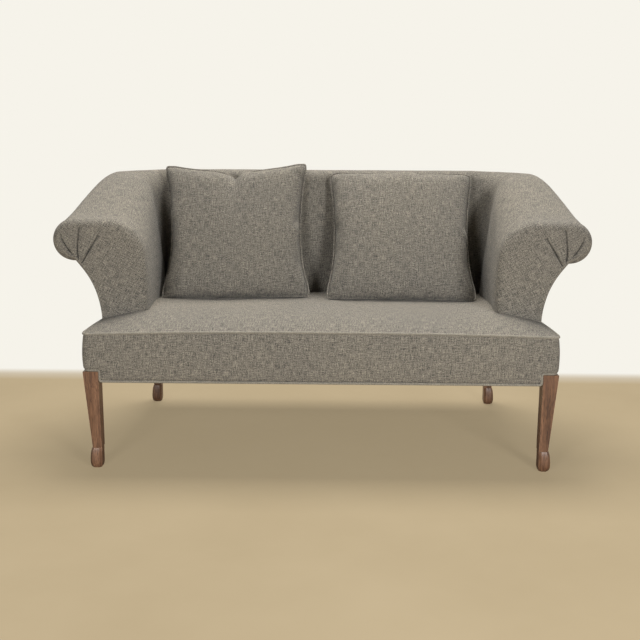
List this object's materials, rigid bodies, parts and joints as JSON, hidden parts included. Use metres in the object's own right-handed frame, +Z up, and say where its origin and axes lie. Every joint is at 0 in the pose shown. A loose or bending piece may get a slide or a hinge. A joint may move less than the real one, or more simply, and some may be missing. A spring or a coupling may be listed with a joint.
{
  "type": "rolled arm sofa",
  "caption": "Upholstered settee with a tight crowned seat, a low back that wraps into flared rolled arms with pleated fronts, tapered wooden legs with scroll feet, and loose throw pillows.",
  "frame": {"origin": "on the floor under the middle of the whole settee", "axes": "+X to the right of someone facing the settee, +Y to its back (it faces -Y), +Z up"},
  "size_m": [1.676, 0.8027, 0.8902],
  "materials": {
    "upholstery": "coarse grey-taupe tweed weave",
    "cotton_padding": "loose cotton and foam padding",
    "pillow_filling": "feather filling in white ticking",
    "burlap": "open jute weave",
    "webbing": "flat woven jute strap",
    "dust_cloth": "thin black non-woven cloth",
    "leg_wood": "reddish-brown stain, satin",
    "frame_wood": "plain planed hardwood",
    "spring_steel": "bare spring steel"
  },
  "bodies": {
    "settee": {"back_center_post": "frame_wood", "back_pad": "cotton_padding", "back_tack_rail": "frame_wood", "back_webbing": "webbing", "bottom_welt": "upholstery", "corner_blocks": "frame_wood", "corner_screws": "spring_steel", "crest_rail": "frame_wood", "dust_cover": "dust_cloth", "front_left_leg": "leg_wood", "front_right_leg": "leg_wood", "front_seat_rail": "frame_wood", "inside_back_cover": "upholstery", "left_arm_cover": "upholstery", "left_arm_facing": "upholstery", "left_arm_front_post": "frame_wood", "left_arm_pad": "cotton_padding", "left_arm_tack_rail": "frame_wood", "left_arm_top_rail": "frame_wood", "left_corner_post": "frame_wood", "left_crest_corner": "frame_wood", "left_outside_arm": "upholstery", "left_seat_rail": "frame_wood", "outside_back_panel": "upholstery", "rail_dowels": "frame_wood", "rear_left_leg": "leg_wood", "rear_right_leg": "leg_wood", "rear_seat_rail": "frame_wood", "right_arm_cover": "upholstery", "right_arm_facing": "upholstery", "right_arm_front_post": "frame_wood", "right_arm_pad": "cotton_padding", "right_arm_tack_rail": "frame_wood", "right_arm_top_rail": "frame_wood", "right_corner_post": "frame_wood", "right_crest_corner": "frame_wood", "right_outside_arm": "upholstery", "right_seat_rail": "frame_wood", "seat_band": "upholstery", "seat_burlap": "burlap", "seat_center_brace": "frame_wood", "seat_cover": "upholstery", "seat_pad": "cotton_padding", "seat_piping": "upholstery", "seat_springs": "spring_steel", "spring_clips": "spring_steel"},
    "left_pillow": {"left_pillow_cover": "upholstery", "left_pillow_insert": "pillow_filling", "left_pillow_welt": "upholstery"},
    "right_pillow": {"right_pillow_cover": "upholstery", "right_pillow_insert": "pillow_filling", "right_pillow_welt": "upholstery"}
  },
  "joints": [
    {"name": "left_pillow_lift", "type": "slide", "parent": "settee", "child": "left_pillow", "axis": [0, 0, 1], "range_m": [0, 0.5]},
    {"name": "right_pillow_lift", "type": "slide", "parent": "settee", "child": "right_pillow", "axis": [0, 0, 1], "range_m": [0, 0.5]}
  ]
}
